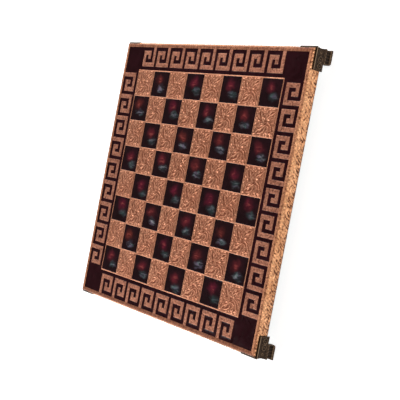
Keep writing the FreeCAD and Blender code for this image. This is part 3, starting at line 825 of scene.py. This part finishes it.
def out_of(profile):
    """Unit vectors away from the board along a profile that runs up its side and inwards."""
    way = np.gradient(profile, axis=0)
    normal = np.c_[way[:, 1], -way[:, 0]]
    return normal / np.linalg.norm(normal, axis=1)[:, None]


def grid_faces(rows, columns):
    """The cells of a grid of points, which are counted along its rows."""
    number = np.arange(rows * columns).reshape(rows, columns)
    return np.c_[
        number[:-1, :-1].ravel(), number[:-1, 1:].ravel(), number[1:, 1:].ravel(), number[1:, :-1].ravel()]


def rim_profile():
    """The section of the rim from the upper end of the strips to its inner wall."""
    start = fold_points(FOLD_PART - 0.05, FOLD_PART - 0.05, 1, -0.2)
    bend = fold_points(FOLD_PART - 0.02, 1.0, BEND_ROWS, 0.05)
    flat = np.linspace(bend[-1, 0] - 0.45, RIM_HALF + 0.35, 6)
    top = np.c_[flat, np.full(6, bend[-1, 1])]
    inner = [(RIM_HALF + 0.08, RIM_TOP - 0.16), (RIM_HALF, RIM_TOP - 0.32), (RIM_HALF, WALL_FOOT)]
    return np.concatenate([start, bend, top, inner])


def make_rim():
    """The rim of the face sheet round the board, with mitred corners."""
    profile = rim_profile()
    steps = np.linspace(-1, 1, RIM_STEPS)
    out, t = np.meshgrid(profile[:, 0], steps, indexing="ij")
    up = np.broadcast_to(profile[:, 1][:, None], out.shape)
    along = t * out
    normal = out_of(profile)
    free = np.ones(len(profile))
    free[[0, -1, -2]] = 0
    marks = stipple(along, out + up)
    lift = RIM_STIPPLE * marks * free[:, None]
    high = np.minimum(up + lift * normal[:, 1][:, None], RIM_TOP)
    wide = out + lift * normal[:, 0][:, None]
    level = np.where(free > 0, RIM_FLAT, RIM_END)
    level[:BEND_ROWS] = RIM_BEND
    shade = np.clip(level[:, None] + 0.50 * marks, 0, 1).ravel()
    side = np.c_[(-along).ravel(), wide.ravel(), high.ravel()]
    points = np.concatenate([turned(side, quarter) for quarter in range(4)])
    faces = grid_faces(*out.shape)
    faces = np.concatenate([faces + quarter * len(side) for quarter in range(4)])
    # Painted light and shade: each side of the rim is made lighter or darker by its own factor.
    shades = np.concatenate([painted_light * shade for painted_light in RIM_SIDE_PAINTED_LIGHT])
    make_piece("face_rim", points, faces, RIM_COPPER, (), shades)


# The sides

SCROLLS = 14
SCROLL_PITCH = 2 * BOARD_HALF / SCROLLS
SCROLL_LIFT = 1.2075
STRIP_GRAIN = 0.32
STRIP_DEPTH = 0.6
STRIP_STEPS = 861
TOP_FADE = (0.80, 0.60, 0.35, 0.1)

# The running scroll of the strips, as points, half widths and heights of its strokes. The
# first distance is measured along one scroll and the second from the bottom of the strip.
SCROLL_LINES = (
    ([(8.4, 1.0), (8.7, 4.0), (11.0, 7.4), (14.6, 9.6), (18.0, 9.6), (20.2, 7.6)], 1.15, 0.95),
    ([(16.2, 9.8), (18.8, 8.6)], 1.60, 1.25),
    ([(11.6, 7.4), (13.6, 9.2)], 1.20, 1.05),
    ([(12.9, 2.6), (14.4, 5.2), (16.4, 7.2)], 0.80, 0.75),
    ([(16.0, 3.6), (18.2, 4.6), (19.4, 6.4)], 0.70, 0.65),
    ([(15.6, 2.6), (18.8, 2.2), (22.4, 3.4)], 0.90, 0.66),
    ([(1.4, 2.4), (4.6, 6.4), (8.4, 9.4)], 1.10, 0.90),
    ([(-1.6, 1.0), (0.4, 4.6), (2.6, 7.6)], 0.80, 0.70),
    ([(3.6, 1.4), (5.6, 3.6), (7.0, 6.0)], 0.65, 0.60),
    ([(22.6, 5.4), (24.4, 8.0), (27.4, 10.2)], 0.95, 0.80),
)
# The slanted leaves above one scroll.
LEAVES = 6


def scroll_relief(s, z):
    """Relief of a side: a running scroll under a row of small slanted leaves."""
    local = np.mod(s + BOARD_HALF, SCROLL_PITCH)
    best = np.zeros_like(local)

    def add(line, width, height, taper):
        nonlocal best
        for shift in (-SCROLL_PITCH, 0, SCROLL_PITCH):
            best = np.maximum(best, ridge(local, z, np.asarray(line) + (shift, 0), width, height, taper))

    for points, width, height in SCROLL_LINES:
        add(curve(points, 5 * len(points)), width, height, (0.5, 0.6))
    for x in np.arange(LEAVES) * SCROLL_PITCH / LEAVES:
        add(curve([(x, 11.0), (x + 1.9, 12.6), (x + 2.7, 15.6)], 8), 1.10, 0.70, (0.6, 0.6))
        add([(x + 2.9, 11.2), (x + 4.0, 14.8)], 0.80, 0.55, (0.8, 0.8))
    return best


def strip_profile():
    """The section of a side strip, from its bottom up and round the fold."""
    fold = fold_points(0.0, FOLD_PART, 7)
    rise = np.linspace(PANEL_LOW, fold[0, 1], 29)[:-1]
    bulge = np.interp(rise, [PANEL_LOW, PANEL_LOW + 0.8, fold[0, 1]], [-0.10, 0.05, FOLD_PROUD])
    return np.concatenate([np.c_[BOARD_HALF + bulge, rise], fold])


def make_bands():
    """The embossed strips on the four sides. They are plain behind the arms of the feet."""
    profile = strip_profile()
    way = np.hypot(*np.gradient(profile, axis=0).T)
    climb = np.concatenate([[0], np.cumsum((way[:-1] + way[1:]) / 2)])
    length = np.linspace(-1, 1, STRIP_STEPS)
    s, climbed = np.meshgrid(length * BOARD_HALF, climb, indexing="ij")
    relief = scroll_relief(s, climbed)
    fade = np.clip((BOARD_HALF - ARM_LENGTH - 0.4 - np.abs(s)) / 0.8, 0, 1) * np.clip(climbed / 0.7, 0, 1)
    grain = 0.7 * smooth_noise(s, climbed, 1.9, 9) + 0.4 * smooth_noise(s, climbed, 1.1, 10)
    lift = (SCROLL_LIFT * relief + STRIP_GRAIN * grain) * fade
    lift[:, -len(TOP_FADE):] *= TOP_FADE
    normal = out_of(profile)
    out = profile[:, 0] + lift * normal[:, 0]
    high = np.minimum(profile[:, 1] + lift * normal[:, 1], RIM_TOP)
    along = length[:, None] * out
    rows, columns = s.shape
    first = np.arange(rows) * columns
    behind = rows * columns + np.arange(rows)
    back = np.c_[-along[:, 0], np.full(rows, BOARD_HALF - STRIP_DEPTH), high[:, 0]]
    under = np.c_[first[:-1], behind[:-1], behind[1:], first[1:]]
    points = np.concatenate([np.c_[(-along).ravel(), out.ravel(), high.ravel()], back])
    faces = np.concatenate([grid_faces(rows, columns)[:, [0, 3, 2, 1]], under])
    # Low values get the copper's patina and painted shade. The strip's values also rise towards its top,
    # so it is lighter there.
    shade = np.clip(0.13 + 0.019 * climbed * fade + 0.76 * relief + 0.48 * grain, 0, 1)
    shade = np.concatenate([shade.ravel(), np.full(rows, 0.2)])
    for quarter, side in enumerate(SIDES):
        names = (f"edge_band_{side}",)
        placed = turned(points, quarter)
        make_piece(f"scroll_band_{side}", placed, faces, BAND_COPPER, names, shade)


# The feet

ARM_LENGTH = 24.6
ARM_TOP = 27.7
LEDGE_BASE = 11.8
LEDGE_REACH = 19.0
LEG_WIDTH = 15.5
LEG_BACK = -3.1
TOE = 4.5
FOOT_PROUD = 2.97
FLUTE_HALF = 1.15
PANEL_END = 6.2
PANEL_FOOT = 16.0
PANEL_HEAD = 22.2

# How far the face of a foot stands out from the board's side at heights above the ground:
# the base with its torus, the fluted shaft, the capital, the arm's panel, a cove and a bead.
FOOT_SECTION = (
    (0.0, 2.60), (0.5, 2.90), (1.8, 2.90), (2.4, 2.20), (3.5, 1.45), (9.3, 1.45), (10.2, 1.75),
    (11.4, 1.95), (12.2, 1.40), (23.6, 1.30), (23.9, 0.95), (25.0, 0.95), (25.3, 1.20), (27.7, 1.20),
)
# Scrolls and lines on a foot, as points along and up, half widths and heights.
FOOT_LINES = (
    ([(-4, 26.5), (26, 26.5)], 1.15, 1.40),
    ([(23.7, 12.9), (23.7, 24.0)], 0.85, 1.00),
    ([(16.0, 12.8), (24.0, 12.8)], 0.80, 0.80),
    ([(-4, 23.3), (23.4, 23.3)], 0.50, 0.55),
    ([(22.4, 22.6), (22.6, 20.4)], 0.60, 0.90),
    ([(15.2, 22.8), (15.4, 20.6)], 0.75, 0.95),
    ([(15.2, 14.2), (15.0, 16.2)], 0.75, 0.95),
    ([(-4, 15.6), (6.6, 15.6)], 0.45, 0.60),
    ([(6.6, 15.6), (6.6, 22.6)], 0.45, 0.60),
    ([(-4, 22.6), (6.6, 22.6)], 0.45, 0.50),
    ([(1.4, 19.2), (3.0, 20.6), (5.0, 19.2), (3.0, 17.6), (1.4, 19.2)], 0.55, 0.80),
    ([(-4, 9.9), (15.5, 9.9)], 0.50, 0.60),
    ([(14.7, 10.2), (14.8, 6.0), (14.0, 3.0), (12.0, 1.2)], 0.65, 0.85),
    ([(-4, 1.2), (11.5, 1.2)], 0.90, 0.35),
    ([(-4, 2.9), (12.6, 2.9)], 0.50, 0.80),
)
# The flutes of the leg, by their distances from the corner and their heights, and the scallops
# above them.
FOOT_FLUTES = (1.6, 5.2, 8.8, 12.4)
FLUTE_ROWS = ((3.7, 5.3), (7.0, 8.7))
SCALLOPS = 5


def foot_height(u, z):
    """How far a foot's face stands out from the side of the board, and how exposed it is there."""
    heights, depths = zip(*FOOT_SECTION)
    body = np.interp(z, heights, depths)
    ornament = np.zeros_like(u)

    def add(line, width, height, taper=(1.0, 1.0)):
        nonlocal ornament
        ornament = np.maximum(ornament, ridge(u, z, np.asarray(line, float), width, height, taper))

    for points, width, height in FOOT_LINES:
        add(curve(points, 6 * len(points)) if len(points) > 2 else points, width, height, (0.8, 0.8))
    for x, y, start, turns in ((18.9, 18.0, 0.62, 1.05), (11.4, 18.4, 0.02, -1.05)):
        add(spiral(x, y, 3.4, 3.0, start, turns, 34), 0.80, 1.15, (0.9, 1.0))
        add([(x, y), (x + 0.2, y)], 1.05, 1.20)
    for k in range(SCALLOPS):
        x = -0.4 + 3.6 * k
        scallop = [(x - 1.6, 14.0), (x - 1.1, 11.9), (x, 11.0), (x + 1.1, 11.9), (x + 1.6, 14.0)]
        add(curve(scallop, 12), 0.55, 0.90)
        add([(x, 13.5), (x, 12.8)], 0.75, 0.95)
    grooves = np.zeros_like(u)
    for x in FOOT_FLUTES:
        for low, high in FLUTE_ROWS:
            far = np.hypot(u - x, z - np.clip(z, low + 0.4, high - 0.4))
            grooves = np.maximum(grooves, np.sqrt(np.clip(1 - (far / FLUTE_HALF) ** 2, 0, 1)))
    rough = smooth_noise(u + 40, z, 0.9, 21)
    out = np.minimum(body + ornament - grooves + 0.10 * rough, FOOT_PROUD)
    panel = (u < PANEL_END) & (z > PANEL_FOOT) & (z < PANEL_HEAD)
    ground = np.where(panel | (z < LEDGE_BASE), 0.34, 0.08)
    exposed = np.clip(ground + 0.66 * ornament - 0.60 * grooves + 0.10 * (body - 1.3) + 0.12 * rough, 0, 1)
    return out, exposed


def half_foot():
    """One face of a foot with its back and its rims: the half beside the board's +X side."""
    mitre = np.linspace(-1, 0, 8)[:-1]
    arm = np.linspace(LEG_WIDTH, ARM_LENGTH, 27)[1:]
    columns = np.r_[mitre, np.linspace(0, LEG_WIDTH, 42), arm]
    rows = np.r_[np.linspace(0, LEDGE_BASE, 34), np.linspace(LEDGE_BASE, ARM_TOP, 42)[1:]]
    t, z = np.meshgrid(columns, rows, indexing="ij")
    low = np.clip(TOE - z, 0, TOE)
    leg_end = LEG_WIDTH - TOE + np.sqrt(TOE ** 2 - low ** 2)
    squeeze = np.where(z < TOE, leg_end / LEG_WIDTH, 1.0)
    u = np.where(t > 0, t * squeeze, 0.0)
    out, exposed = foot_height(u, z)
    u = np.where(t < 0, t * out, u)
    back_out = np.where(z < LEDGE_BASE - 0.01, LEG_BACK, 0.03)
    reach = np.where(z < LEDGE_BASE - 0.01, leg_end, ARM_LENGTH)
    start = -back_out
    back_u = start + (u + out[0][None, :]) / (reach + out[0][None, :]) * (reach - start)
    past_leg = columns[:-1] > LEG_WIDTH - 0.01
    under_arm = rows[1:] < LEDGE_BASE + 0.01
    mask = ~(past_leg[:, None] & under_arm[None, :])
    used = corners_of(mask) > 0
    count = used.sum()
    number = np.full(used.shape, -1)
    number[used] = np.arange(count)
    front = np.c_[out[used], -u[used], z[used]]
    behind = np.c_[back_out[used], -back_u[used], z[used]]
    i, j = np.nonzero(mask)
    quads = np.c_[number[i, j], number[i, j + 1], number[i + 1, j + 1], number[i + 1, j]]
    faces = [quads, quads[:, ::-1] + count]
    faces += [wall[:, ::-1] for wall in wall_faces(mask, mask, number, number + count)[1:]]
    values = np.r_[exposed[used], np.full(count, 0.4)]
    return np.concatenate([front, behind]), np.concatenate(faces), values


def bevelled_box(low, high, bevel):
    """A box with cut edges, as points and faces."""
    low, high = np.array(low), np.array(high)
    middle, half = (low + high) / 2, (high - low) / 2
    points = []
    for corner in itertools.product((-1, 1), repeat=3):
        for axis in range(3):
            points.append(middle + corner * (half - bevel * (np.arange(3) != axis)))
    points = np.array(points)
    faces = []
    for way in itertools.product((-1, 0, 1), repeat=3):
        if any(way):
            reach = (points - middle) @ way
            ring = np.nonzero(np.isclose(reach, reach.max()))[0]
            spokes = points[ring] - points[ring].mean(0)
            ahead = np.cross(way, spokes[0])
            angles = np.arctan2(spokes @ ahead / np.linalg.norm(way), spokes @ spokes[0])
            faces.append(ring[np.argsort(angles)].tolist())
    return points, faces


def make_feet():
    """The four cast feet with their scrolls, flutes and mouldings."""
    half, half_faces, values = half_foot()
    count = len(half)
    ledge_low = (-LEDGE_REACH, -LEDGE_REACH, LEDGE_BASE + 0.04)
    ledge, ledge_faces = bevelled_box(ledge_low, (-0.1, -0.1, PANEL_LOW - 0.02), 0.3)
    points = np.concatenate([half, half[:, [1, 0, 2]], ledge]) + (BOARD_HALF, BOARD_HALF, 0)
    faces = half_faces.tolist() + (half_faces[:, ::-1] + count).tolist()
    faces += [[p + 2 * count for p in ring] for ring in ledge_faces]
    shade = np.concatenate([values, values, np.full(len(ledge), 0.45)])
    for quarter in range(4):
        names = (f"corner_foot_{quarter + 1}",)
        placed = turned(points, quarter)
        make_piece(f"cast_foot_{quarter + 1}", placed, faces, BRONZE, names, shade)


# The underside

FELT_HALF = BOARD_HALF - 4.0
FELT_NOTCH = BOARD_HALF - LEDGE_REACH - 1.0


def make_felt():
    """The felt under the board, notched round the feet, with a soft uneven surface and edge."""
    lines = spread([-FELT_HALF, -FELT_NOTCH, FELT_NOTCH, FELT_HALF], 3.2, 0.4)
    middle = np.abs((lines[:-1] + lines[1:]) / 2)
    mask = ~((middle[:, None] > FELT_NOTCH) & (middle[None, :] > FELT_NOTCH))
    felt = Plateau(lines, lines, mask)
    low = FELT_LOW + 0.04 + 0.03 * smooth_noise(felt.x, felt.y, 6, 12) + 0.2 * felt.edge + 0.03 * felt.ring
    points, faces, _used, _wall = felt.build(low, PANEL_LOW - 0.01)
    piece = make_piece("felt_sheet", points, faces[:, ::-1], FELT, ("base_felt",))


make_field()
make_enamel_squares()
make_border()
make_rim()
make_bands()
make_feet()
make_felt()
for node, material in (("core_panel", PANEL_WOOD), ("foot_screws", STEEL)):
    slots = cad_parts[node].material_slots
    for k in range(len(slots)):
        slots[k].material = material


# Floor, lamps and camera, with lengths in metres

# The world's light on dull things, and the heights of view between which the white backdrop
# fades out, with how much higher it reaches in front.
DIM = 0.15
BACKDROP_FROM = 0.15
BACKDROP_TO = 0.45
BACKDROP_LEAN = 0.6
FLOOR_HALF = 4.0
CAMERA_PLACE = (0.896725, 0.009443, 0.784461)
CAMERA_FORWARD = (-0.7516647, -0.0236508, -0.6591212)
CAMERA_UP = (-0.1425143, 0.9815720, 0.1273028)
CAMERA_LENS = 81.72


def make_floor():
    """A plain white floor, which keeps the board's shadow."""
    mesh = bpy.data.meshes.new("floor")
    corners = [(x * FLOOR_HALF, y * FLOOR_HALF, 0) for x, y in ((-1, -1), (1, -1), (1, 1), (-1, 1))]
    mesh.from_pydata(corners, [], [(0, 1, 2, 3)])
    floor = bpy.data.objects.new("floor", mesh)
    bpy.context.scene.collection.objects.link(floor)
    look = Look("floor_white", Roughness=0.9)
    look.use("Base Color", (0.86, 0.86, 0.86))
    path = look.add("ShaderNodeLightPath")
    seen = look.math("MAXIMUM", path.outputs["Is Camera Ray"], path.outputs["Is Glossy Ray"])
    seen = look.math("MAXIMUM", seen, path.outputs["Is Transmission Ray"])
    look.use("Emission Color", (1.0, 1.0, 1.0))
    look.use("Emission Strength", look.math("MULTIPLY", seen, 0.72))
    mesh.materials.append(look.material)


def make_lamp(name, place, size, power):
    """A soft square lamp that shines on the board."""
    light = bpy.data.lights.new(name, "AREA")
    light.shape = "SQUARE"
    light.size = size
    light.energy = power
    lamp = bpy.data.objects.new(name, light)
    bpy.context.scene.collection.objects.link(lamp)
    lamp.location = place
    lamp.rotation_euler = (-Vector(place)).to_track_quat("-Z", "Y").to_euler()


def make_world():
    """A dim room with a white backdrop all round it, which reaches higher in front of the board."""
    world = bpy.data.worlds.new("studio")
    world.use_nodes = True
    room = Nodes(world.node_tree)
    parts = room.add("ShaderNodeSeparateXYZ")
    room.feed(parts.inputs[0], room.add("ShaderNodeTexCoord").outputs["Generated"])
    front = room.math("MAXIMUM", parts.outputs["X"], 0.0)
    height = room.math("MULTIPLY_ADD", front, -BACKDROP_LEAN, parts.outputs["Z"])
    backdrop = room.ease(height, BACKDROP_FROM, BACKDROP_TO, 1.0, 0.05)
    path = room.add("ShaderNodeLightPath").outputs
    strength = DIM
    shown = {"Is Glossy Ray": backdrop, "Is Transmission Ray": backdrop, "Is Camera Ray": 1.0}
    for ray, seen in shown.items():
        choice = room.add("ShaderNodeMix")
        for number, value in ((0, path[ray]), (2, strength), (3, seen)):
            room.feed(choice.inputs[number], value)
        strength = choice.outputs[0]
    background = room.tree.nodes["Background"]
    room.feed(background.inputs["Color"], (1.0, 1.0, 1.0))
    room.feed(background.inputs["Strength"], strength)
    bpy.context.scene.world = world


def make_camera():
    """The camera at the photograph's viewing angle."""
    forward = Vector(CAMERA_FORWARD).normalized()
    right = forward.cross(Vector(CAMERA_UP)).normalized()
    up = right.cross(forward)
    data = bpy.data.cameras.new("camera")
    data.sensor_width = 36.0
    data.lens = CAMERA_LENS
    data.clip_start = 0.01
    camera = bpy.data.objects.new("camera", data)
    bpy.context.scene.collection.objects.link(camera)
    turn = Matrix((right, up, -forward)).transposed().to_4x4()
    camera.matrix_world = Matrix.Translation(CAMERA_PLACE) @ turn
    bpy.context.scene.camera = camera


make_floor()
make_lamp("left", (-1.75, -1.65, 1.4), 1.6, 54.0)
make_lamp("right", (-1.7, 1.75, 1.4), 1.6, 59.0)
make_lamp("front", (1.6, 0.1, 0.8), 1.4, 13.4)
make_world()
bpy.context.scene.view_settings.view_transform = "Standard"
make_camera()
